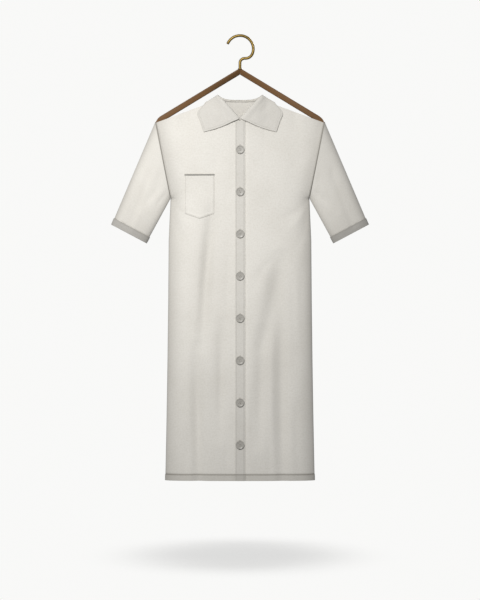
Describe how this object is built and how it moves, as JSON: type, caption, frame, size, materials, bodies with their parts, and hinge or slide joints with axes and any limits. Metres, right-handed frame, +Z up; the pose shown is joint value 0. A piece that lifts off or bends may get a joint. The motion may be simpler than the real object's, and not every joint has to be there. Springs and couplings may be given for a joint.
{
  "type": "garment",
  "caption": "Knee-length short-sleeved shirt with a turned-down collar, button front and chest pocket, hanging on a slim wooden hanger with a brass hook.",
  "frame": {"origin": "inside the top of the hook, where the rail bears", "axes": "+Z up, the front faces -Y, +X is the wearer's left"},
  "size_m": [0.6834, 0.0714, 1.1816],
  "materials": {
    "linen": "matt plain weave",
    "trim": "matt plain weave, a shade greyer",
    "button": "satin",
    "wood": "satin varnish",
    "brass": "polished, slightly dulled"
  },
  "bodies": {
    "root": {"front_right": "linen", "front_left": "linen", "back": "linen", "sleeve_right": "linen", "sleeve_left": "linen", "collar": "linen", "placket": "linen", "pocket": "linen", "pocket_binding": "trim", "cuff_right": "trim", "cuff_left": "trim", "button_1": "button", "button_2": "button", "button_3": "button", "button_4": "button", "button_5": "button", "button_6": "button", "button_7": "button", "button_8": "button", "hanger_arm_right": "wood", "hanger_arm_left": "wood", "hanger_hook": "brass"}
  },
  "joints": []
}
